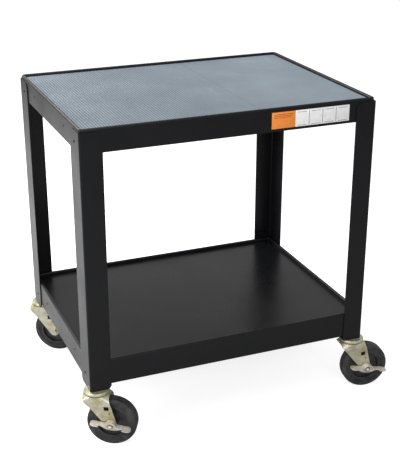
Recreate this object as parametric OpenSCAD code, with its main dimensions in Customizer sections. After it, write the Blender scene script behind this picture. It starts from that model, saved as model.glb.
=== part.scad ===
// Two-shelf steel projector cart on four swivel casters, the front two with side brakes.
// Origin: centre of the mat's upper surface. +X runs along the long front, -Y faces the front, +Z is up.

/* [Frame] */
// Width of the cart over the legs, along X
cart_w = 610; // [480:5:900]
// Depth of the cart over the legs, along Y
cart_d = 457; // [380:5:700]
// Drop from the top lip to the lower shelf's lip
shelf_drop = 471; // [300:1:900]
// Thickness of the leg steel
leg_t = 2; // [1.5:0.1:3]
// Width of the leg's flange on the long front and back
leg_flange_x = 44; // [38:1:60]
// Width of the leg's flange on the short sides
leg_flange_y = 59; // [45:1:75]
// Outer radius of the leg's long bend
leg_bend_r = 4; // [3:0.5:6]
// Radius at the free corner of each flange's top
leg_top_r = 16; // [6:1:22]
// Radius at the free corner of each flange's foot
leg_foot_r = 10; // [4:1:11]
// How far the leg's top stays below the shelf's lip
leg_top_gap = 7.5; // [5:0.5:12]
// How far the leg reaches below the lower apron
leg_foot = 11; // [11:0.5:30]

/* [Shelves] */
// Thickness of the shelf steel
sheet_t = 1.5; // [1:0.1:2]
// Height of the top shelf's apron, from the lip down
top_apron_h = 47; // [35:1:70]
// Height of the lower shelf's apron, from the lip down
low_apron_h = 54; // [35:1:80]
// Depth of the lower tray below its lip
tray_depth = 8; // [6:0.5:15]
// Outer radius of the rolled lip
lip_r = 3.5; // [3:0.25:3.75]
// Radius of the shelf's upright corners
shelf_corner_r = 8; // [8:0.5:14]
// Width of the return flange under each apron
return_w = 13; // [8:1:20]
// Distance from a shelf corner to the end of its return flanges
return_setback = 22; // [15:1:40]

/* [Mat] */
// Thickness of the rubber mat
mat_t = 3.2; // [2:0.1:5]
// Height of the top lip above the mat
lip_over_mat = 5; // [2:0.5:8]
// Gap between the mat and the lip
mat_gap = 2; // [0.5:0.5:5]
// Radius of the mat's corners
mat_corner_r = 5; // [2:1:10]

/* [Rivets] */
// Radius of the rivet shank
rivet_r = 2; // [1.5:0.1:3]
// Radius of the rivet head
rivet_head_r = 3.4; // [3.2:0.1:5]
// Height of the rivet head
rivet_head_h = 1.3; // [0.8:0.1:2]
// Distance from the leg's outer corner to the rivet
rivet_from_corner = 34; // [20:1:38]

/* [Casters] */
// Height of a caster from the floor to the leg
caster_h = 120.7; // [118:0.5:135]
// Diameter of the wheel over the tyre
wheel_d = 101.6; // [96:0.2:103]
// Width of the tyre's tread
tread_w = 26; // [20:1:30]
// Distance of the axle behind the swivel axis
trail = 31; // [24:1:36]
// Distance of the swivel axis from the leg's side face
swivel_in_x = 16; // [14:0.5:22]
// Distance of the swivel axis from the leg's front face
swivel_in_y = 13; // [13:0.5:20]
// Angle of the front left caster
front_left_turn = -28; // [-180:1:180]
// Angle of the front right caster
front_right_turn = -9; // [-180:1:180]
// Angle of the back left caster
back_left_turn = -36; // [-180:1:180]
// Angle of the back right caster
back_right_turn = -20; // [-180:1:180]

/* [Swivel] */
// Radius of the ball race
race_r = 26; // [24:0.5:28]
// Height of the upper race
race_h = 5.5; // [4.5:0.25:7]
// Gap between the upper race and the fork's crown
race_gap = 2; // [1.5:0.1:2.5]
// Radius of a bearing ball
ball_r = 2.5; // [2.25:0.05:2.75]
// Radius of the ring of balls
ball_ring_r = 17; // [15:0.5:18]
// Number of balls in a race
ball_count = 16; // [10:1:18]
// Clearance round a ball in its groove
ball_clear = 0.1; // [0.05:0.01:0.2]
// Radius of the kingpin
kingpin_r = 5; // [4:0.25:6]
// Running clearance of the kingpin and the wheel's bore
run_clear = 0.06; // [0.02:0.01:0.1]
// Thickness of the caster's gusset plate in the leg's foot
gusset_t = 3; // [2:0.5:5]

/* [Fork] */
// Thickness of the fork's steel
fork_t = 2.5; // [2:0.1:3]
// Thickness of the fork's crown under the balls
crown_t = 4; // [3.5:0.25:5]
// Height of the round crown skirt
crown_h = 8; // [6:0.5:9]
// Radius of the fork's end round the axle
fork_end_r = 10.5; // [10:0.25:13]
// Side of the square hole in a fork leg
square_hole = 10; // [6:0.5:11]
// Radius of the small round hole in a fork leg
small_hole_r = 1.5; // [1:0.1:2]
// Room between a fork leg and the end of the hub
hub_room = 1.6; // [1.4:0.1:2.5]

/* [Wheel] */
// Radius of the hub under the tyre
rim_r = 36; // [32:0.5:39]
// Thickness of the hub's web
web_t = 9; // [6:0.5:12]
// Radius of the hub's boss
boss_r = 12; // [10:0.5:14]
// Length of the hub's boss
boss_len = 32; // [31:0.5:36]
// Radius of the axle bolt
bolt_r = 4; // [3.5:0.25:5]
// Outer radius of the axle sleeve
sleeve_r = 6; // [5.75:0.25:7.5]
// Thickness of a thrust washer
washer_t = 1.2; // [0.8:0.1:1.3]

/* [Brake] */
// Tilt of the brake lever from level
lever_tilt = 9; // [0:1:14]
// Thickness of the lever's steel
lever_t = 2; // [1.5:0.1:2.5]
// Half the length of the lever over its pedals
lever_half = 41; // [34:1:46]
// How far the lever's flange stands out
lever_flange = 13; // [9:0.5:16]
// How far the pedals stand out
pedal_out = 19; // [15:0.5:22]
// Length of a pedal
pedal_len = 17; // [12:1:20]
// Radius of the arch over the axle nut
arch_r = 11; // [10:0.5:13]
// Depth of the lever's web below the axle
web_drop = 11; // [8:0.5:13]
// Thickness of the brake's cam plate
cam_t = 1.6; // [1:0.1:2.5]

/* [Hidden] */
// Facets of a circle that shows, and of a small one
$fn = 64;
small_fn = 32;
// Overrun of every cut
cut = 1;
// Gap left between pieces that move past each other
free_gap = 0.3;
// Clearance of a shank that doesn't turn in its hole
hole_clear = 0.1;

// Levels of the shelves and legs
lip_z = lip_over_mat;
top_apron_z = lip_z - top_apron_h;
low_lip_z = lip_z - shelf_drop;
low_apron_z = low_lip_z - low_apron_h;
leg_top_z = lip_z - leg_top_gap;
leg_foot_z = low_apron_z - leg_foot;
floor_z = leg_foot_z - caster_h;
shelf_w = cart_w - 2 * leg_t;
shelf_d = cart_d - 2 * leg_t;
// Where the rivets cross the aprons
rivet_edge = 17;
rivet_zs = [top_apron_z + rivet_edge, low_apron_z + rivet_edge];

// Levels of a caster, from the floor
axle_z = wheel_d / 2;
race_z = caster_h - race_h;
crown_z = race_z - race_gap;
skirt_z = crown_z - crown_h;
ball_z = crown_z + race_gap / 2;
// Where the fork has narrowed to its flat legs
fork_neck = 20;
neck_z = skirt_z - fork_neck;
// Half the width inside and over the fork's legs
fork_in = boss_len / 2 + hub_room;
fork_out = fork_in + fork_t;
// Length that is longer than any fork
fork_reach = 3 * race_r;
// Square hole's centre and small hole's centre, ahead of and above the axle
square_ahead = 9;
square_up = 36;
small_ahead = 3;
small_up = 24.5;
square_at = [trail - square_ahead, square_up];
small_at = [trail - small_ahead, small_up];
// Kingpin head under the crown and nut on the gusset
pin_head_r = 8;
pin_head_h = 4;
pin_nut_r = 8.6;
pin_nut_h = 6;
pin_end = 3;
// Axle bolt's head and nuts
bolt_head_r = 7.5;
bolt_head_h = 5;
nut_r = 7.5;
// How far a washer's edge stays inside the boss's
washer_in = 1;
nut_h = 5.5;
dome_r = 5.6;
bolt_end = 2.5;
// Depth of the tyre, its shoulder and the step in its side, both limited by that depth
tyre_wall = wheel_d / 2 - rim_r;
shoulder_r = 5;
side_step = 1.2;
side_step_w = 4;
// Hub's rim lip and wall, and its ring, counted in from the rim
rim_lip = 2;
rim_wall = 5;
hub_ring_in = 9;
hub_ring_r = rim_r - hub_ring_in;
hub_ring_w = 2;
hub_ring_h = 1;
// Layers of the brake outside the fork
cam_r = 11;
cam_y = fork_out;
lever_y = cam_y + cam_t + free_gap;
lever_nut_y = lever_y + lever_t + free_gap;
web_half = 26;
web_top = 4;
pedal_r = 7;
flange_z = 2;
// Gusset's reach along each flange
gusset_setback = 3;
gusset_reach = leg_flange_x - leg_t - gusset_setback;
gusset_end = 18;

// Side signs and turns of the casters
FRONT = -1;
BACK = 1;
LEFT = -1;
RIGHT = 1;

// Sheet steel and mat

// Section of a shelf's edge: lip wall, rolled bead and apron. X is counted from the corner's centre
module edge_section(apron_h, tray) {
    outer = shelf_corner_r;
    bead_x = outer - lip_r;
    translate([outer - sheet_t, -apron_h]) square([sheet_t, apron_h - lip_r]);
    translate([bead_x - lip_r, -tray]) square([sheet_t, tray - lip_r]);
    intersection() {
        translate([bead_x, -lip_r]) difference() {
            circle(lip_r);
            circle(lip_r - sheet_t);
        }
        translate([bead_x - lip_r, -lip_r]) square([2 * lip_r, lip_r]);
    }
}

// Turns a side of the shelf, and the corner after it, round to each of the four sides
module edge_ring(apron_h, tray) {
    for (side = [0:3]) {
        along = side % 2 == 0 ? shelf_d : shelf_w;
        out = side % 2 == 0 ? shelf_w : shelf_d;
        straight = along - 2 * shelf_corner_r;
        rotate([0, 0, 90 * side]) translate([out / 2 - shelf_corner_r, straight / 2, 0]) {
            rotate([90, 0, 0]) linear_extrude(straight) edge_section(apron_h, tray);
            rotate_extrude(angle = 90) edge_section(apron_h, tray);
        }
    }
}

// Return flanges folded in under the apron
module return_flanges(apron_h) {
    for (side = [0:3]) {
        along = (side % 2 == 0 ? shelf_d : shelf_w) - 2 * return_setback;
        out = side % 2 == 0 ? shelf_w : shelf_d;
        rotate([0, 0, 90 * side]) translate([out / 2 - return_w, -along / 2, -apron_h])
            cube([return_w - sheet_t / 2, along, sheet_t]);
    }
}

// Rounded plate that lies on z = 0
module rounded_plate(w, d, r, t) {
    for (x = [-1, 1], y = [-1, 1])
        translate([x * (w / 2 - r), y * (d / 2 - r), 0]) cylinder(r = r, h = t);
    translate([-w / 2 + r, -d / 2, 0]) cube([w - 2 * r, d, t]);
    translate([-w / 2, -d / 2 + r, 0]) cube([w, d - 2 * r, t]);
}

// Holes through the side aprons or the legs for the rivets
module rivet_holes(zs) {
    for (x = [LEFT, RIGHT], y = [FRONT, BACK], z = zs)
        translate([x * cart_w / 2, y * (cart_d / 2 - rivet_from_corner), z]) rotate([0, 90, 0])
            cylinder(r = rivet_r + hole_clear, h = 4 * (leg_t + sheet_t), center = true, $fn = small_fn);
}

// One pressed shelf with its lip at z = 0
module shelf(apron_h, tray) {
    rim_in = lip_r * 2 - sheet_t;
    edge_ring(apron_h, tray);
    return_flanges(apron_h);
    translate([0, 0, -tray - sheet_t]) rounded_plate(shelf_w - 2 * rim_in,
        shelf_d - 2 * rim_in, max(shelf_corner_r - rim_in, sheet_t), sheet_t);
}

module top_shelf() color([0.13, 0.13, 0.14]) difference() {
    translate([0, 0, lip_z]) shelf(top_apron_h, lip_over_mat + mat_t);
    rivet_holes(rivet_zs);
}

module lower_shelf() color([0.13, 0.13, 0.14]) difference() {
    translate([0, 0, low_lip_z]) shelf(low_apron_h, tray_depth);
    rivet_holes(rivet_zs);
}

module top_mat() color([0.45, 0.5, 0.55]) {
    edge = 2 * lip_r + mat_gap;
    translate([0, 0, -mat_t])
        rounded_plate(shelf_w - 2 * edge, shelf_d - 2 * edge, mat_corner_r, mat_t);
}

module shelf_rivets() color([0.2, 0.2, 0.2]) {
    shank = leg_t + sheet_t;
    for (x = [LEFT, RIGHT], y = [FRONT, BACK], z = rivet_zs)
        translate([x * cart_w / 2, y * (cart_d / 2 - rivet_from_corner), z]) rotate([0, 90 * x, 0]) {
            translate([0, 0, -shank - rivet_head_h]) cylinder(r = rivet_r, h = shank + rivet_head_h, $fn = small_fn);
            rivet_head();
            translate([0, 0, -shank]) mirror([0, 0, 1]) rivet_head();
        }
}

// Low domed rivet head on z = 0
module rivet_head() {
    dome = (rivet_head_r * rivet_head_r + rivet_head_h * rivet_head_h) / (2 * rivet_head_h);
    intersection() {
        translate([0, 0, rivet_head_h - dome]) sphere(r = dome);
        cylinder(r = rivet_head_r, h = rivet_head_h, $fn = small_fn);
    }
}

// Legs

// Square with its corner at the origin rounded
module bent_corner(w, d, r) {
    translate([r, r]) circle(r);
    translate([r, 0]) square([w - r, d]);
    translate([0, r]) square([w, d - r]);
}

// L section with its outer corner at the origin
module leg_section() difference() {
    bent_corner(leg_flange_x, leg_flange_y, leg_bend_r);
    translate([leg_t, leg_t])
        bent_corner(leg_flange_x, leg_flange_y, leg_bend_r - leg_t);
}

// What is cut away to round the corner at the origin, the metal lying towards -X and -Y
module corner_waste(r) difference() {
    translate([-r, -r]) square(r + cut);
    translate([-r, -r]) circle(r);
}

// A leg with its outer corner on the Z axis and its flanges along +X and +Y
module leg() {
    thick = leg_t + 2 * cut;
    difference() {
        translate([0, 0, leg_foot_z]) linear_extrude(leg_top_z - leg_foot_z) leg_section();
        translate([leg_flange_x, leg_t + cut, leg_top_z]) rotate([90, 0, 0])
            linear_extrude(thick) corner_waste(leg_top_r);
        translate([leg_flange_x, leg_t + cut, leg_foot_z]) rotate([90, 0, 0]) mirror([0, 1])
            linear_extrude(thick) corner_waste(leg_foot_r);
        translate([-cut, leg_flange_y, leg_top_z]) rotate([90, 0, 90])
            linear_extrude(thick) corner_waste(leg_top_r);
        translate([-cut, leg_flange_y, leg_foot_z]) rotate([90, 0, 90]) mirror([0, 1])
            linear_extrude(thick) corner_waste(leg_foot_r);
    }
}

// Puts a corner piece, drawn with its outer corner on the Z axis, at one corner of the cart
module at_corner(x, y) translate([x * cart_w / 2, y * cart_d / 2, 0])
    mirror([x == RIGHT ? 1 : 0, 0, 0]) mirror([0, y == BACK ? 1 : 0, 0]) children();

module placed_leg(x, y) color([0.13, 0.13, 0.14]) difference() {
    at_corner(x, y) leg();
    rivet_holes(rivet_zs);
}

// Plate welded across the leg's foot, bored for the kingpin
module gusset(x, y) color([0.13, 0.13, 0.14]) at_corner(x, y) translate([0, 0, leg_foot_z]) difference() {
    translate([leg_t, leg_t, 0]) linear_extrude(gusset_t) intersection() {
        bent_corner(gusset_reach, gusset_reach, leg_bend_r - leg_t);
        polygon([[0, 0], [gusset_reach, 0], [gusset_reach, gusset_end],
            [gusset_end, gusset_reach], [0, gusset_reach]]);
    }
    translate([swivel_in_x, swivel_in_y, -cut])
        cylinder(r = kingpin_r + hole_clear, h = gusset_t + 2 * cut);
}

// Casters, drawn with the swivel axis on Z, the floor at z = 0, the wheel trailing towards +X
// and the outward side towards -Y

module at_swivel(x, y) translate([
    x * (cart_w / 2 - swivel_in_x), y * (cart_d / 2 - swivel_in_y), floor_z]) children();

function turn_of(x, y) = y == FRONT
    ? (x == LEFT ? front_left_turn : front_right_turn)
    : (x == LEFT ? back_left_turn : back_right_turn);

module at_caster(x, y) at_swivel(x, y) rotate([0, 0, turn_of(x, y)]) children();

// Puts a piece, drawn about Y through the origin, on the axle
module at_axle(x, y) at_caster(x, y) translate([trail, 0, axle_z]) children();

// Cylinder along +Y from y = from
module rod_y(r, from, len) translate([0, from, 0]) rotate([-90, 0, 0]) cylinder(r = r, h = len);

module hex_y(r, from, len) translate([0, from, 0]) rotate([-90, 0, 0]) cylinder(r = r, h = len, $fn = 6);

// Ring of the grooves that the balls roll in
module ball_groove() translate([0, 0, ball_z]) rotate_extrude()
    translate([ball_ring_r, 0]) circle(ball_r + ball_clear, $fn = small_fn);

module upper_race(x, y) color([0.72, 0.7, 0.62]) at_swivel(x, y) difference() {
    bore = kingpin_r + hole_clear;
    edge = race_h / 3;
    translate([0, 0, race_z]) rotate_extrude()
        polygon([[bore, 0], [race_r, 0], [race_r, race_h - edge], [race_r - edge, race_h], [bore, race_h]]);
    ball_groove();
}

module kingpin(x, y) color([0.7, 0.68, 0.6]) at_swivel(x, y) {
    head_z = crown_z - crown_t - free_gap - pin_head_h;
    top_z = caster_h + gusset_t + pin_nut_h + pin_end;
    translate([0, 0, head_z]) cylinder(r = kingpin_r, h = top_z - head_z);
    translate([0, 0, head_z]) cylinder(r = pin_head_r, h = pin_head_h);
    translate([0, 0, caster_h + gusset_t]) cylinder(r = pin_nut_r, h = pin_nut_h, $fn = 6);
}

module balls(x, y) color([0.8, 0.8, 0.8]) at_swivel(x, y)
    for (i = [0:ball_count - 1]) rotate([0, 0, 360 * i / ball_count])
        translate([ball_ring_r, 0, ball_z]) sphere(r = ball_r, $fn = small_fn);

// Side view of the fork: the crown's full width drawn in to the round end at the axle
module fork_outline() hull() {
    translate([-race_r, skirt_z]) square([2 * race_r, crown_h]);
    translate([trail, axle_z]) circle(fork_end_r, $fn = small_fn);
}

// Round crown drawn down to flat legs, half_w apart from the middle
module fork_body(crown_radius, top_z, half_w, reach) {
    hull() {
        translate([0, 0, skirt_z]) cylinder(r = crown_radius, h = top_z - skirt_z, $fn = small_fn);
        translate([-reach, -half_w, neck_z]) cube([2 * reach, 2 * half_w, cut]);
    }
    translate([-reach, -half_w, 0]) cube([2 * reach, 2 * half_w, neck_z + cut]);
}

module fork(x, y) color([0.72, 0.7, 0.6]) at_caster(x, y) difference() {
    intersection() {
        difference() {
            fork_body(race_r, crown_z, fork_out, 2 * race_r);
            fork_body(race_r - fork_t, crown_z - crown_t, fork_in, fork_reach);
        }
        translate([0, fork_reach, 0]) rotate([90, 0, 0]) linear_extrude(2 * fork_reach) fork_outline();
    }
    ball_groove();
    translate([0, 0, crown_z - crown_t - cut]) cylinder(r = kingpin_r + run_clear, h = crown_t + 2 * cut);
    translate([trail, 0, axle_z]) rod_y(bolt_r + hole_clear, -fork_reach, 2 * fork_reach);
    translate([square_at[0] - square_hole / 2, -fork_reach, axle_z + square_at[1] - square_hole / 2])
        cube([square_hole, 2 * fork_reach, square_hole]);
    translate([small_at[0], 0, axle_z + small_at[1]]) rod_y(small_hole_r, -fork_reach, 2 * fork_reach);
}

// Bolt from the back on a braked caster, from the outward side on a plain one
module axle_bolt(x, y) color([0.75, 0.73, 0.68]) at_axle(x, y) mirror([0, y == FRONT ? 0 : 1, 0]) {
    tip = y == FRONT ? lever_nut_y + nut_h : fork_out + nut_h + bolt_end;
    rod_y(bolt_r, -tip, tip + fork_out);
    hex_y(bolt_head_r, fork_out, bolt_head_h);
}

// Domed nut outside a brake lever, plain nut on a plain caster
module axle_nut(x, y) color([0.8, 0.76, 0.7]) at_axle(x, y) mirror([0, y == FRONT ? 0 : 1, 0]) difference() {
    seat = y == FRONT ? lever_nut_y : fork_out;
    union() {
        hex_y(nut_r, -seat - nut_h, nut_h);
        if (y == FRONT) translate([0, -seat - nut_h, 0]) sphere(r = dome_r);
    }
    rod_y(bolt_r + hole_clear, -seat - nut_h, nut_h + cut);
}

module axle_sleeve(x, y) color([0.6, 0.6, 0.6]) at_axle(x, y) difference() {
    rod_y(sleeve_r, -fork_in, 2 * fork_in);
    rod_y(bolt_r + hole_clear, -fork_in - cut, 2 * (fork_in + cut));
}

module washers(x, y) color([0.75, 0.75, 0.72]) at_axle(x, y) for (side = [-1, 1])
    mirror([0, side < 0 ? 1 : 0, 0]) difference() {
        rod_y(boss_r - washer_in, fork_in - washer_t, washer_t);
        rod_y(sleeve_r + hole_clear, fork_in - washer_t - cut, washer_t + 2 * cut);
    }

// Half section of the hub: boss, thin web with a raised ring, and rim. X is the radius
module hub_section() {
    bore = sleeve_r + run_clear;
    half = tread_w / 2 - rim_lip;
    translate([bore, -boss_len / 2]) square([boss_r - bore, boss_len]);
    translate([boss_r, -web_t / 2]) square([rim_r - boss_r, web_t]);
    translate([rim_r - rim_wall, -half]) square([rim_wall, 2 * half]);
    translate([hub_ring_r, -web_t / 2 - hub_ring_h]) square([hub_ring_w, web_t + 2 * hub_ring_h]);
}

// Spins a section, drawn with its radius along X and the axle along Y, round the axle
module spin_on_axle() rotate([-90, 0, 0]) rotate_extrude() children();

module hub(x, y) color([0.12, 0.12, 0.13]) at_axle(x, y) spin_on_axle() hub_section();

// Half section of the tyre with round shoulders and a stepped side
module tyre_section() {
    half = tread_w / 2;
    outer = wheel_d / 2;
    shoulder = min(shoulder_r, tyre_wall / 2);
    step_r = rim_r + min(side_step_w, tyre_wall / 3);
    translate([rim_r, -half + shoulder]) square([outer - rim_r, tread_w - 2 * shoulder]);
    for (side = [-1, 1]) translate([outer - shoulder, side * (half - shoulder)]) circle(shoulder, $fn = small_fn);
    translate([step_r, -half]) square([outer - shoulder - step_r, tread_w]);
    translate([rim_r, -half + side_step]) square([step_r - rim_r, tread_w - 2 * side_step]);
}

module tyre(x, y) color([0.1, 0.1, 0.1]) at_axle(x, y) spin_on_axle() tyre_section();

// Brakes

module brake_cam(x, y) color([0.65, 0.62, 0.55]) at_axle(x, y) difference() {
    rod_y(cam_r, -cam_y - cam_t, cam_t);
    rod_y(bolt_r + hole_clear, -cam_y - cam_t - cut, cam_t + 2 * cut);
}

// Front view of the lever's web, a lens that hangs round the axle
module lever_web() intersection() {
    round_r = (web_half * web_half + web_drop * web_drop) / (2 * web_drop) + web_top / 2;
    translate([0, round_r - web_drop]) circle(round_r);
    translate([-web_half, -web_drop]) square([2 * web_half, web_drop + flange_z + lever_t]);
}

// Front view of the flange: two level arms and the arch over the nut
module lever_wave() {
    difference() {
        circle(arch_r + lever_t / 2);
        circle(arch_r - lever_t / 2);
        translate([-2 * arch_r, -4 * arch_r + flange_z]) square(4 * arch_r);
    }
    for (side = [0, 1]) mirror([side, 0])
        translate([arch_r - lever_t / 2, flange_z]) square([lever_half - arch_r + lever_t / 2, lever_t]);
}

// Plan of the flange with the two rounded pedals
module lever_plan() {
    translate([-lever_half + pedal_r, 0]) square([2 * (lever_half - pedal_r), lever_flange]);
    for (side = [0, 1]) mirror([side, 0]) translate([lever_half - pedal_len, 0]) {
        translate([0, pedal_r / 2]) square([pedal_len - pedal_r, pedal_out - pedal_r / 2]);
        translate([0, pedal_r]) square([pedal_len, pedal_out - 2 * pedal_r]);
        for (z = [pedal_r, pedal_out - pedal_r]) translate([pedal_len - pedal_r, z]) circle(pedal_r);
    }
}

module brake_lever(x, y) color([0.85, 0.84, 0.8]) at_axle(x, y)
    translate([0, -lever_y, 0]) rotate([0, lever_tilt, 0]) difference() {
        union() {
            rotate([90, 0, 0]) linear_extrude(lever_t) lever_web();
            rotate([90, 0, 0]) linear_extrude(lever_t) difference() {
                circle(arch_r);
                translate([-2 * arch_r, -4 * arch_r]) square(4 * arch_r);
            }
            intersection() {
                rotate([90, 0, 0]) linear_extrude(pedal_out) lever_wave();
                translate([0, 0, -2 * arch_r]) mirror([0, 1, 0]) linear_extrude(4 * arch_r) lever_plan();
            }
        }
        rod_y(bolt_r + hole_clear, -lever_t - cut, lever_t + 2 * cut);
    }

top_shelf();
top_mat();
lower_shelf();
placed_leg(LEFT, FRONT);  // front_left_leg
placed_leg(RIGHT, FRONT);  // front_right_leg
placed_leg(LEFT, BACK);  // back_left_leg
placed_leg(RIGHT, BACK);  // back_right_leg
shelf_rivets();
gusset(LEFT, FRONT);  // front_left_gusset
gusset(RIGHT, FRONT);  // front_right_gusset
gusset(LEFT, BACK);  // back_left_gusset
gusset(RIGHT, BACK);  // back_right_gusset
upper_race(LEFT, FRONT);  // front_left_upper_race
upper_race(RIGHT, FRONT);  // front_right_upper_race
upper_race(LEFT, BACK);  // back_left_upper_race
upper_race(RIGHT, BACK);  // back_right_upper_race
kingpin(LEFT, FRONT);  // front_left_kingpin
kingpin(RIGHT, FRONT);  // front_right_kingpin
kingpin(LEFT, BACK);  // back_left_kingpin
kingpin(RIGHT, BACK);  // back_right_kingpin
balls(LEFT, FRONT);  // front_left_balls
balls(RIGHT, FRONT);  // front_right_balls
balls(LEFT, BACK);  // back_left_balls
balls(RIGHT, BACK);  // back_right_balls
fork(LEFT, FRONT);  // front_left_fork
fork(RIGHT, FRONT);  // front_right_fork
fork(LEFT, BACK);  // back_left_fork
fork(RIGHT, BACK);  // back_right_fork
axle_bolt(LEFT, FRONT);  // front_left_axle_bolt
axle_bolt(RIGHT, FRONT);  // front_right_axle_bolt
axle_bolt(LEFT, BACK);  // back_left_axle_bolt
axle_bolt(RIGHT, BACK);  // back_right_axle_bolt
axle_nut(LEFT, FRONT);  // front_left_axle_nut
axle_nut(RIGHT, FRONT);  // front_right_axle_nut
axle_nut(LEFT, BACK);  // back_left_axle_nut
axle_nut(RIGHT, BACK);  // back_right_axle_nut
axle_sleeve(LEFT, FRONT);  // front_left_axle_sleeve
axle_sleeve(RIGHT, FRONT);  // front_right_axle_sleeve
axle_sleeve(LEFT, BACK);  // back_left_axle_sleeve
axle_sleeve(RIGHT, BACK);  // back_right_axle_sleeve
washers(LEFT, FRONT);  // front_left_washers
washers(RIGHT, FRONT);  // front_right_washers
washers(LEFT, BACK);  // back_left_washers
washers(RIGHT, BACK);  // back_right_washers
hub(LEFT, FRONT);  // front_left_hub
hub(RIGHT, FRONT);  // front_right_hub
hub(LEFT, BACK);  // back_left_hub
hub(RIGHT, BACK);  // back_right_hub
tyre(LEFT, FRONT);  // front_left_tyre
tyre(RIGHT, FRONT);  // front_right_tyre
tyre(LEFT, BACK);  // back_left_tyre
tyre(RIGHT, BACK);  // back_right_tyre
brake_cam(LEFT, FRONT);  // front_left_brake_cam
brake_cam(RIGHT, FRONT);  // front_right_brake_cam
brake_lever(LEFT, FRONT);  // front_left_brake_lever
brake_lever(RIGHT, FRONT);  // front_right_brake_lever
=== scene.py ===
"""Dresses the two-shelf projector cart: finishes, mat, side rivets, label, studio and camera."""

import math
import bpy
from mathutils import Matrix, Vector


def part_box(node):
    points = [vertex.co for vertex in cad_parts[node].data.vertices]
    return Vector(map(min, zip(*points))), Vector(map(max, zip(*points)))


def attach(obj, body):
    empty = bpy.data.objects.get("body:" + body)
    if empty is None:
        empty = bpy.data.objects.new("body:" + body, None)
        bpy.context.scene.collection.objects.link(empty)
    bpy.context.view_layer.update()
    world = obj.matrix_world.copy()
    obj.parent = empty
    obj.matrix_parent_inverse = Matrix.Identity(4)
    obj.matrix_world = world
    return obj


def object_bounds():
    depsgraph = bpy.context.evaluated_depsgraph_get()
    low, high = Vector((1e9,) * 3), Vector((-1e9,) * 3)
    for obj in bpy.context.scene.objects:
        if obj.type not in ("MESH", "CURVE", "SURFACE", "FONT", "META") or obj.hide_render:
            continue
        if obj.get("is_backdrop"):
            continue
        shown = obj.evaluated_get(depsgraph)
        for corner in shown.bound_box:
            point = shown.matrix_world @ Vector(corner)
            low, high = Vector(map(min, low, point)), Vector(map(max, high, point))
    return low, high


bl_info = {
    "name": "Projector cart",
    "version": (1, 0, 0),
    "blender": (4, 5, 0),
    "location": "View3D > Sidebar > Cart",
    "description": "Finishes and trims a two-shelf projector cart",
    "category": "Object",
}

import bpy
from mathutils import Vector

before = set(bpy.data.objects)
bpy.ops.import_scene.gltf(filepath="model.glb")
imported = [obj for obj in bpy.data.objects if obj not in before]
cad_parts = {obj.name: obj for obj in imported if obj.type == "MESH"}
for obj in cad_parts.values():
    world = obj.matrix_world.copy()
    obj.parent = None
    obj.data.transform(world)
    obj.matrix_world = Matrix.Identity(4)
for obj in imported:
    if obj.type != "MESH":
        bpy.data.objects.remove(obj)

CORNERS = ("front_left", "front_right", "back_left", "back_right")
MM = 0.001
# Faces that meet more gently than this are shaded as one
SMOOTH_ANGLE = math.radians(40)


# Shader helpers

def start_material(name):
    """A new material with its shader and the place of each point on the object."""
    material = bpy.data.materials.new(name)
    material.use_nodes = True
    tree = material.node_tree
    shader = tree.nodes["Principled BSDF"]
    place = tree.nodes.new("ShaderNodeTexCoord").outputs["Object"]
    return material, tree, shader, place


def noise(tree, place, scale, detail=4.0, rough=0.55, stretch=(1, 1, 1)):
    """Cloudy pattern, stretched along each axis by the given factors."""
    mapping = tree.nodes.new("ShaderNodeMapping")
    mapping.inputs["Scale"].default_value = stretch
    tree.links.new(place, mapping.inputs["Vector"])
    node = tree.nodes.new("ShaderNodeTexNoise")
    node.inputs["Scale"].default_value = scale
    node.inputs["Detail"].default_value = detail
    node.inputs["Roughness"].default_value = rough
    tree.links.new(mapping.outputs["Vector"], node.inputs["Vector"])
    return node.outputs["Fac"]


def spread(tree, value, low, high, out_low=0.0, out_high=1.0):
    """Value from low to high, mapped and clamped to the outer range."""
    node = tree.nodes.new("ShaderNodeMapRange")
    node.inputs["From Min"].default_value = low
    node.inputs["From Max"].default_value = high
    node.inputs["To Min"].default_value = out_low
    node.inputs["To Max"].default_value = out_high
    tree.links.new(value, node.inputs["Value"])
    return node.outputs["Result"]


def sums(tree, kind, first, second):
    """Two values joined by the named sum. A number may stand for the second."""
    node = tree.nodes.new("ShaderNodeMath")
    node.operation = kind
    tree.links.new(first, node.inputs[0])
    if isinstance(second, (int, float)):
        node.inputs[1].default_value = second
    else:
        tree.links.new(second, node.inputs[1])
    return node.outputs["Value"]


def blend_colours(tree, factor, first, second):
    """Mix of two colours, each a tuple or a socket."""
    node = tree.nodes.new("ShaderNodeMix")
    node.data_type = "RGBA"
    tree.links.new(factor, node.inputs["Factor"])
    for colour, name in ((first, "A"), (second, "B")):
        socket = [i for i in node.inputs if i.name == name and i.type == "RGBA"][0]
        if isinstance(colour, tuple):
            socket.default_value = (*colour, 1.0)
        else:
            tree.links.new(colour, socket)
    return [o for o in node.outputs if o.type == "RGBA"][0]


def raise_relief(tree, shader, height, strength, depth):
    """Bump from a height, depth metres deep."""
    node = tree.nodes.new("ShaderNodeBump")
    node.inputs["Strength"].default_value = strength
    node.inputs["Distance"].default_value = depth
    tree.links.new(height, node.inputs["Height"])
    tree.links.new(node.outputs["Normal"], shader.inputs["Normal"])


def axis_of(tree, place, axis):
    """One coordinate of the place."""
    node = tree.nodes.new("ShaderNodeSeparateXYZ")
    tree.links.new(place, node.inputs["Vector"])
    return node.outputs[axis]


# Finishes

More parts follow.
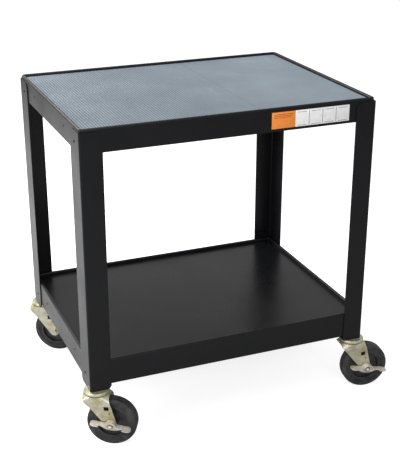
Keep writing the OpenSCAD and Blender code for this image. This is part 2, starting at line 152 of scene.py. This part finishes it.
def black_enamel(colours):
    """Satin black powder coat: fine orange peel, smudges and a few pale scuffs."""
    material, tree, shader, place = start_material("black_enamel")
    smudge = noise(tree, place, 7.0, 5.0)
    peel = noise(tree, place, 620.0, 2.0)
    scuff = spread(tree, noise(tree, place, 46.0, 9.0, 0.72, (1, 1, 0.35)), 0.67, 0.78)
    dust = spread(tree, noise(tree, place, 240.0, 3.0), 0.62, 0.8, 0.0, 0.35)
    tone = blend_colours(tree, smudge, tuple(colours.enamel), tuple(c * 1.7 for c in colours.enamel))
    tone = blend_colours(tree, sums(tree, "MULTIPLY", scuff, 0.22), tone, (0.16, 0.16, 0.16))
    tone = blend_colours(tree, sums(tree, "MULTIPLY", dust, 0.05), tone, (0.3, 0.3, 0.3))
    tree.links.new(tone, shader.inputs["Base Color"])
    rough = sums(tree, "ADD", spread(tree, smudge, 0.3, 0.7, 0.24, 0.37), sums(tree, "MULTIPLY", scuff, 0.2))
    tree.links.new(rough, shader.inputs["Roughness"])
    shader.inputs["Specular IOR Level"].default_value = 0.22
    raise_relief(tree, shader, peel, 0.12, 0.0004)
    return material


def mat_rubber(colours, sizes):
    """Blue-grey rubber moulded with close rows of dots, each darkened with painted shade; dots and shade fade
    out towards the right.
    """
    material, tree, shader, place = start_material("mat_rubber")
    wave = None
    for axis in ("X", "Y"):
        turn = sums(tree, "MULTIPLY", axis_of(tree, place, axis), math.pi / sizes.dot_pitch)
        one = sums(tree, "SINE", turn, 0.0)
        wave = one if wave is None else sums(tree, "MULTIPLY", wave, one)
    dots = spread(tree, sums(tree, "ABSOLUTE", wave, 0.0), 0.25, 0.8)
    # Dot relief and the painted shade in the dots fade out towards the right
    dot_fade_right = spread(tree, axis_of(tree, place, "X"), -0.05, 0.2, 1.0, 0.22)
    dots = sums(tree, "MULTIPLY", dots, dot_fade_right)
    cloud = noise(tree, place, 9.0, 6.0, 0.6)
    streak = noise(tree, place, 30.0, 5.0, 0.6, (1.6, 0.25, 1))
    off_seam = sums(tree, "ABSOLUTE", sums(tree, "SUBTRACT", axis_of(tree, place, "X"), sizes.seam_x), 0.0)
    seam = spread(tree, off_seam, 0.0003, 0.0009, 1.0, 0.0)
    dark, light = tuple(colours.mat_dark), tuple(colours.mat_light)
    tone = blend_colours(tree, spread(tree, cloud, 0.3, 0.7), dark, light)
    # Painted shade: the dots are coloured near-black as the shade inside them
    tone = blend_colours(tree, sums(tree, "MULTIPLY", dots, 0.85), tone, tuple(c * 0.2 for c in dark))
    tone = blend_colours(tree, spread(tree, streak, 0.6, 0.8, 0.0, 0.3), tone, (0.3, 0.32, 0.34))
    tone = blend_colours(tree, sums(tree, "MULTIPLY", seam, 0.6), tone, tuple(c * 0.3 for c in dark))
    tree.links.new(tone, shader.inputs["Base Color"])
    tree.links.new(spread(tree, cloud, 0.3, 0.7, 0.42, 0.58), shader.inputs["Roughness"])
    shader.inputs["Specular IOR Level"].default_value = 0.5
    raise_relief(tree, shader, sums(tree, "MULTIPLY", dots, -1.0), 0.6, 0.0008)
    return material


def zinc_plate(colours):
    """Worn zinc: pale metal clouded with yellow and olive stain, grime and pits."""
    material, tree, shader, place = start_material("zinc_plate")
    pale = (0.62, 0.6, 0.52)
    cloud = noise(tree, place, 55.0, 6.0, 0.62)
    fine = noise(tree, place, 420.0, 4.0, 0.6)
    grime = spread(tree, noise(tree, place, 95.0, 8.0, 0.7), 0.52, 0.74)
    tone = blend_colours(tree, spread(tree, cloud, 0.36, 0.64), pale, tuple(colours.stain))
    tone = blend_colours(tree, sums(tree, "MULTIPLY", grime, 0.55), tone, (0.2, 0.17, 0.1))
    tree.links.new(tone, shader.inputs["Base Color"])
    tree.links.new(spread(tree, cloud, 0.3, 0.7, 0.3, 0.5), shader.inputs["Roughness"])
    shader.inputs["Metallic"].default_value = 0.72
    raise_relief(tree, shader, fine, 0.16, 0.0003)
    return material


def worn_lever(colours):
    """Pale plating on the brake lever, greyed at its pedals."""
    material, tree, shader, place = start_material("worn_lever")
    cloud = noise(tree, place, 80.0, 6.0, 0.6)
    specks = spread(tree, noise(tree, place, 260.0, 6.0, 0.7), 0.6, 0.75)
    tone = blend_colours(tree, spread(tree, cloud, 0.35, 0.65), tuple(colours.lever), (0.5, 0.45, 0.36))
    tone = blend_colours(tree, sums(tree, "MULTIPLY", specks, 0.45), tone, (0.22, 0.19, 0.14))
    tree.links.new(tone, shader.inputs["Base Color"])
    tree.links.new(spread(tree, cloud, 0.3, 0.7, 0.34, 0.5), shader.inputs["Roughness"])
    shader.inputs["Metallic"].default_value = 0.35
    raise_relief(tree, shader, cloud, 0.2, 0.0005)
    return material


def bright_steel():
    """Plain bright bolt plating, slightly mottled."""
    material, tree, shader, place = start_material("bright_steel")
    fine = noise(tree, place, 300.0, 5.0, 0.6)
    tone = blend_colours(tree, spread(tree, fine, 0.35, 0.65), (0.62, 0.58, 0.5), (0.42, 0.39, 0.33))
    tree.links.new(tone, shader.inputs["Base Color"])
    tree.links.new(spread(tree, fine, 0.3, 0.7, 0.22, 0.42), shader.inputs["Roughness"])
    shader.inputs["Metallic"].default_value = 0.85
    raise_relief(tree, shader, fine, 0.1, 0.0002)
    return material


def tyre_rubber(colours):
    """Black tyre rubber, dusty grey where it rolls."""
    material, tree, shader, place = start_material("tyre_rubber")
    dust = noise(tree, place, 60.0, 7.0, 0.65)
    fine = noise(tree, place, 700.0, 3.0)
    dusty = spread(tree, dust, 0.4, 0.75, 0.0, 0.75)
    tone = blend_colours(tree, dusty, tuple(colours.tyre), (0.085, 0.085, 0.085))
    tree.links.new(tone, shader.inputs["Base Color"])
    tree.links.new(spread(tree, dust, 0.3, 0.7, 0.5, 0.72), shader.inputs["Roughness"])
    shader.inputs["Specular IOR Level"].default_value = 0.4
    raise_relief(tree, shader, fine, 0.2, 0.0004)
    return material


def hub_plastic(colours):
    """Hard black core of the wheel, a little glossy and scuffed."""
    material, tree, shader, place = start_material("hub_plastic")
    cloud = noise(tree, place, 70.0, 6.0, 0.6)
    tone = blend_colours(tree, spread(tree, cloud, 0.4, 0.8), tuple(colours.tyre), (0.05, 0.05, 0.055))
    tree.links.new(tone, shader.inputs["Base Color"])
    tree.links.new(spread(tree, cloud, 0.3, 0.7, 0.3, 0.48), shader.inputs["Roughness"])
    raise_relief(tree, shader, cloud, 0.1, 0.0005)
    return material


def printed_film(name, colour):
    """Printed film of a label, faintly mottled."""
    material, tree, shader, place = start_material(name)
    cloud = noise(tree, place, 120.0, 4.0)
    tone = blend_colours(tree, spread(tree, cloud, 0.3, 0.7), colour, tuple(c * 0.86 for c in colour))
    tree.links.new(tone, shader.inputs["Base Color"])
    tree.links.new(spread(tree, cloud, 0.3, 0.7, 0.35, 0.47), shader.inputs["Roughness"])
    return material


# Mesh helpers

def deselect():
    """Leaves nothing selected, so that the next call works on its own piece."""
    bpy.ops.object.select_all(action="DESELECT")


def finish_mesh(piece, name, material, bevel=0.0):
    """Bevels a piece, puts its place in its mesh and gives it its finish."""
    piece.name = name
    deselect()
    piece.select_set(True)
    bpy.context.view_layer.objects.active = piece
    bpy.ops.object.transform_apply(location=True, rotation=True, scale=True)
    if bevel:
        modifier = piece.modifiers.new("edges", "BEVEL")
        modifier.width = bevel
        modifier.segments = 2
        modifier.limit_method = "ANGLE"
        bpy.ops.object.modifier_apply(modifier=modifier.name)
    bpy.ops.object.shade_smooth_by_angle(angle=SMOOTH_ANGLE)
    piece.data.materials.clear()
    piece.data.materials.append(material)
    return piece


def add_block(low, high):
    """A block from its lowest to its highest corner."""
    low, high = Vector(low), Vector(high)
    deselect()
    bpy.ops.mesh.primitive_cube_add(size=1, location=(low + high) / 2)
    block = bpy.context.active_object
    block.dimensions = high - low
    return block


def join_pieces(pieces):
    """Joins the pieces into the first of them."""
    deselect()
    for piece in pieces:
        piece.select_set(True)
    bpy.context.view_layer.objects.active = pieces[0]
    bpy.ops.object.join()
    return pieces[0]


def dress(node, material):
    """Gives a solid of the cart its finish."""
    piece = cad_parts[node]
    piece.data.materials.clear()
    piece.data.materials.append(material)


# Sizes and colours that a user would change

class CartSizes(bpy.types.PropertyGroup):
    """Places and sizes of the trim."""
    dot_pitch: bpy.props.FloatProperty(
        name="Dot pitch", description="Distance between the mat's rows of dots",
        default=0.0056, min=0.003, unit="LENGTH")
    seam_x: bpy.props.FloatProperty(
        name="Mat seam", description="Place of the joint across the mat", default=0.06, unit="LENGTH")
    label_x: bpy.props.FloatProperty(
        name="Label start", description="Left end of the label", default=0.0764, unit="LENGTH")
    label_split: bpy.props.FloatProperty(
        name="Label split", description="Where orange turns to white", default=0.1269, unit="LENGTH")
    label_end: bpy.props.FloatProperty(
        name="Label end", description="Right end of the label", default=0.2451, unit="LENGTH")
    label_top: bpy.props.FloatProperty(
        name="Label top", description="Upper edge of the label", default=-0.004, unit="LENGTH")
    label_bottom: bpy.props.FloatProperty(
        name="Label bottom", description="Lower edge of the label", default=-0.0365, unit="LENGTH")
    steel_t: bpy.props.FloatProperty(
        name="Leg steel", description="Thickness of the legs outside the aprons",
        default=0.002, unit="LENGTH")
    rivet_r: bpy.props.FloatProperty(
        name="Rivet head", description="Radius of a side rivet's head",
        default=0.0034, min=0.001, unit="LENGTH")
    rivet_y: bpy.props.FloatProperty(
        name="Rivet place", description="Distance of the side rivets from the middle",
        default=0.112, unit="LENGTH")
    top_rivet_drop: bpy.props.FloatProperty(
        name="Top rivets", description="Depth of the top rivets below the mat", default=0.017, unit="LENGTH")
    low_rivet_drop: bpy.props.FloatProperty(
        name="Lower rivets", description="Depth of the lower rivets below the mat",
        default=0.492, unit="LENGTH")


class CartColours(bpy.types.PropertyGroup):
    """Colours of the finishes."""
    enamel: bpy.props.FloatVectorProperty(name="Enamel", description="Black of the steel",
                                          subtype="COLOR", default=(0.004, 0.0042, 0.005))
    mat_dark: bpy.props.FloatVectorProperty(name="Mat, dark", description="Darker tone of the mat",
                                            subtype="COLOR", default=(0.13, 0.165, 0.2))
    mat_light: bpy.props.FloatVectorProperty(name="Mat, light", description="Lighter tone of the mat",
                                             subtype="COLOR", default=(0.19, 0.235, 0.27))
    stain: bpy.props.FloatVectorProperty(name="Stain", description="Yellowed tone of the zinc",
                                         subtype="COLOR", default=(0.42, 0.38, 0.2))
    lever: bpy.props.FloatVectorProperty(name="Lever", description="Pale plating of the levers",
                                         subtype="COLOR", default=(0.72, 0.7, 0.64))
    tyre: bpy.props.FloatVectorProperty(name="Tyre", description="Black of the tyre and core",
                                        subtype="COLOR", default=(0.012, 0.012, 0.013))
    label_orange: bpy.props.FloatVectorProperty(name="Label, orange", description="Plain orange of the label",
                                                subtype="COLOR", default=(1.0, 0.3, 0.04))
    label_white: bpy.props.FloatVectorProperty(name="Label, white", description="Plain white of the label",
                                               subtype="COLOR", default=(0.93, 0.93, 0.93))


class CART_OT_steel(bpy.types.Operator):
    """Powder coats the shelves, legs, rivets and gussets"""
    bl_idname = "cart.steel"
    bl_label = "Steel"

    def execute(self, context):
        enamel = black_enamel(context.scene.cart_colours)
        for node in ["top_shelf", "lower_shelf", "shelf_rivets"]:
            dress(node, enamel)
        for corner in CORNERS:
            dress(f"{corner}_leg", enamel)
            dress(f"{corner}_gusset", enamel)
        return {"FINISHED"}


class CART_OT_mat(bpy.types.Operator):
    """Gives the mat its dotted rubber and the joint across it"""
    bl_idname = "cart.mat"
    bl_label = "Mat"

    def execute(self, context):
        dress("top_mat", mat_rubber(context.scene.cart_colours, context.scene.cart_sizes))
        return {"FINISHED"}


class CART_OT_casters(bpy.types.Operator):
    """Plates the forks and bolts, and finishes the wheels and brakes"""
    bl_idname = "cart.casters"
    bl_label = "Casters"

    def execute(self, context):
        colours = context.scene.cart_colours
        finishes = {
            "zinc": zinc_plate(colours),
            "bright": bright_steel(),
            "lever": worn_lever(colours),
            "tyre": tyre_rubber(colours),
            "hub": hub_plastic(colours),
        }
        parts = {
            "upper_race": "zinc", "kingpin": "zinc", "balls": "bright", "fork": "zinc", "axle_bolt": "bright",
            "axle_nut": "bright", "axle_sleeve": "bright", "washers": "bright", "hub": "hub", "tyre": "tyre",
            "brake_cam": "zinc", "brake_lever": "lever",
        }
        for corner in CORNERS:
            for part, finish in parts.items():
                if f"{corner}_{part}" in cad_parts:
                    dress(f"{corner}_{part}", finishes[finish])
        return {"FINISHED"}


class CART_OT_side_rivets(bpy.types.Operator):
    """Sets the low rivet heads seen along the outside of the side aprons"""
    bl_idname = "cart.side_rivets"
    bl_label = "Side rivets"
    # Height of a head as a share of its radius
    dome_share = 0.42

    def execute(self, context):
        sizes = context.scene.cart_sizes
        enamel = bpy.data.materials["black_enamel"]
        face_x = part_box("front_left_leg")[0][0] + sizes.steel_t
        for side, sign in (("left", 1), ("right", -1)):
            for shelf, drop in (("top", sizes.top_rivet_drop), ("lower", sizes.low_rivet_drop)):
                places = [(face_x, y, -drop) for y in (-sizes.rivet_y, sizes.rivet_y)]
                heads = [self.head(place, sizes.rivet_r) for place in places]
                heads = finish_mesh(join_pieces(heads), f"{side}_{shelf}_rivet_heads", enamel)
                if sign < 0:
                    deselect()
                    heads.select_set(True)
                    bpy.ops.transform.rotate(value=math.pi, orient_axis="Z", center_override=(0, 0, 0))
                    bpy.ops.object.transform_apply(location=True, rotation=True, scale=True)
                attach(heads, "root")
        return {"FINISHED"}

    def head(self, place, radius):
        """A low dome standing out of the left apron."""
        deselect()
        bpy.ops.mesh.primitive_uv_sphere_add(segments=32, ring_count=16, radius=radius, location=place)
        bpy.ops.object.transform_apply(location=True, rotation=True, scale=True)
        bpy.ops.object.mode_set(mode="EDIT")
        bpy.ops.mesh.select_all(action="SELECT")
        bpy.ops.mesh.bisect(plane_co=place, plane_no=(1, 0, 0), clear_outer=True, use_fill=True)
        bpy.ops.mesh.select_all(action="SELECT")
        bpy.ops.transform.resize(value=(self.dome_share, 1, 1), center_override=place)
        bpy.ops.object.mode_set(mode="OBJECT")
        return bpy.context.active_object


class CART_OT_label(bpy.types.Operator):
    """Sticks a bare orange and white label, with thin dividers, on the front apron"""
    bl_idname = "cart.label"
    bl_label = "Label"
    # Thickness of the ink, and its distance from a panel's edge
    ink_t = 0.06 * MM
    margin = 2.2 * MM

    def execute(self, context):
        sizes = context.scene.cart_sizes
        colours = context.scene.cart_colours
        face_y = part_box("front_left_leg")[0][1] + sizes.steel_t
        film_t = 0.25 * MM
        orange_ends = (sizes.label_x, sizes.label_split)
        white_ends = (sizes.label_split, sizes.label_end)
        pieces = [
            self.panel("label_orange", orange_ends, sizes, face_y, film_t, tuple(colours.label_orange)),
            self.panel("label_white", white_ends, sizes, face_y, film_t, tuple(colours.label_white)),
            self.rules(sizes, face_y - film_t),
            self.bars(sizes, face_y - film_t),
        ]
        for piece in pieces:
            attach(piece, "root")
        return {"FINISHED"}

    def panel(self, name, ends, sizes, face_y, film_t, colour):
        """A plain film between the two ends, with its edges eased."""
        film = add_block((ends[0], face_y - film_t, sizes.label_bottom), (ends[1], face_y, sizes.label_top))
        edge_r = 0.08 * MM
        return finish_mesh(film, name, printed_film(name, colour), edge_r)

    def rules(self, sizes, front):
        """Upright dividers of the white panel, and a short line over and under each empty cell."""
        low, high = sizes.label_bottom, sizes.label_top
        cells = 4
        cell = (sizes.label_end - sizes.label_split) / cells
        rule = 0.45 * MM
        line_t = 1.6 * rule
        rules = []
        for i in range(1, cells):
            x = sizes.label_split + i * cell
            rules.append(add_block((x - rule, front - self.ink_t, low + self.margin),
                                   (x + rule, front, high - self.margin)))
        for i in range(cells):
            x = sizes.label_split + (i + 0.5) * cell
            for z in (low + self.margin, high - 2 * self.margin):
                rules.append(add_block((x - cell / 3, front - self.ink_t, z),
                                       (x + cell / 3, front, z + line_t)))
        ink = printed_film("label_ink", (0.05, 0.05, 0.055))
        return finish_mesh(join_pieces(rules), "label_rules", ink)

    def bars(self, sizes, front):
        """Three plain bars on the orange panel, each shorter than the one above."""
        bar_step = 3.2 * MM
        bar_t = 1.1 * MM
        bars = []
        for i in range(3):
            z = sizes.label_top - self.margin - (i + 1) * bar_step
            bars.append(add_block((sizes.label_x + 2 * self.margin, front - self.ink_t, z),
                                  (sizes.label_split - (2 + i) * self.margin, front, z + bar_t)))
        ink = printed_film("label_bar_ink", (0.35, 0.07, 0.015))
        return finish_mesh(join_pieces(bars), "label_bars", ink)


class CART_OT_studio(bpy.types.Operator):
    """Sets the pale floor, the soft lamps, the world and the camera"""
    bl_idname = "cart.studio"
    bl_label = "Studio"

    def execute(self, context):
        scene = context.scene
        scene.view_settings.view_transform = "Standard"
        floor_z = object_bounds()[0][2]
        self.floor(floor_z)
        self.world(scene)
        # Name, place, aim, width, height and power of each lamp
        lamps = (
            ("lamp_top", (-0.3, 0.1, 1.9), (0, 0, -0.2), 1.8, 1.6, 34),
            ("lamp_left", (-2.3, -0.5, 0.7), (0, 0, -0.3), 1.4, 1.6, 34),
            ("lamp_behind_left", (-0.95, 1.3, 0.75), (-0.75, 1.15, -0.65), 0.9, 1.2, 34),
            ("lamp_front", (-0.5, -2.6, 0.9), (0, 0, -0.4), 1.6, 1.0, 26),
        )
        for name, place, aim, width, height, power in lamps:
            light = bpy.data.lights.new(name, "AREA")
            light.shape = "RECTANGLE"
            light.size = width
            light.size_y = height
            light.energy = power
            lamp = bpy.data.objects.new(name, light)
            lamp.location = place
            lamp.rotation_euler = (Vector(aim) - Vector(place)).to_track_quat("-Z", "Y").to_euler()
            scene.collection.objects.link(lamp)
        # Camera found from the photograph's edges: turn, tilt, place and focal length
        turn, tilt = math.radians(-22.121), math.radians(22.547)
        camera = bpy.data.objects.new("camera", bpy.data.cameras.new("camera"))
        camera.location = (-0.75947, -1.91878, 0.52136)
        camera.rotation_euler = (math.pi / 2 - tilt, 0, turn)
        focal_px, long_side_px = 1020.0, 475
        camera.data.sensor_width = 36
        camera.data.lens = focal_px * camera.data.sensor_width / long_side_px
        camera.data.dof.use_dof = False
        scene.collection.objects.link(camera)
        scene.camera = camera
        return {"FINISHED"}

    def floor(self, z):
        """Pale floor that glows a little to the camera and keeps the cart's shadow."""
        deselect()
        floor_w = 14
        bpy.ops.mesh.primitive_plane_add(size=floor_w, location=(0, 0, z))
        floor = bpy.context.active_object
        floor.name = "studio_floor"
        material = bpy.data.materials.new("studio_floor")
        material.use_nodes = True
        tree = material.node_tree
        shader = tree.nodes["Principled BSDF"]
        shader.inputs["Base Color"].default_value = (0.6, 0.6, 0.6, 1)
        shader.inputs["Roughness"].default_value = 0.9
        shader.inputs["Emission Color"].default_value = (1, 1, 1, 1)
        camera_glow = 0.78
        path = tree.nodes.new("ShaderNodeLightPath")
        glow = sums(tree, "MULTIPLY", path.outputs["Is Camera Ray"], camera_glow)
        tree.links.new(glow, shader.inputs["Emission Strength"])
        floor.data.materials.append(material)
        floor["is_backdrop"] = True

    def world(self, scene):
        """White to the camera, paler grey in reflections, a soft grey to the rest."""
        world = bpy.data.worlds.new("studio")
        scene.world = world
        world.use_nodes = True
        tree = world.node_tree
        back = tree.nodes["Background"]
        path = tree.nodes.new("ShaderNodeLightPath")
        seen = sums(tree, "MAXIMUM", path.outputs["Is Camera Ray"], path.outputs["Is Transmission Ray"])
        back.inputs["Color"].default_value = (1, 1, 1, 1)
        soft_grey, more_in_reflections = 0.3, 0.4
        mirrored = sums(tree, "MULTIPLY", path.outputs["Is Glossy Ray"], more_in_reflections)
        strength = sums(tree, "ADD", spread(tree, seen, 0.0, 1.0, soft_grey, 1.0), mirrored)
        tree.links.new(strength, back.inputs["Strength"])


OPERATORS = (CART_OT_steel, CART_OT_mat, CART_OT_casters, CART_OT_side_rivets, CART_OT_label, CART_OT_studio)


class CART_PT_panel(bpy.types.Panel):
    """Lists the steps that dress the cart"""
    bl_idname = "CART_PT_panel"
    bl_label = "Projector cart"
    bl_space_type = "VIEW_3D"
    bl_region_type = "UI"
    bl_category = "Cart"

    def draw(self, context):
        for operator in OPERATORS:
            self.layout.operator(operator.bl_idname)


CLASSES = (CartSizes, CartColours, *OPERATORS, CART_PT_panel)


def register():
    for cls in CLASSES:
        bpy.utils.register_class(cls)
    bpy.types.Scene.cart_sizes = bpy.props.PointerProperty(type=CartSizes)
    bpy.types.Scene.cart_colours = bpy.props.PointerProperty(type=CartColours)


def unregister():
    del bpy.types.Scene.cart_colours
    del bpy.types.Scene.cart_sizes
    for cls in reversed(CLASSES):
        bpy.utils.unregister_class(cls)


def main():
    register()
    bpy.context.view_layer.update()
    bpy.ops.cart.steel()
    bpy.ops.cart.mat()
    bpy.ops.cart.casters()
    bpy.ops.cart.side_rivets()
    bpy.ops.cart.label()
    bpy.ops.cart.studio()


if __name__ == "__main__":
    main()
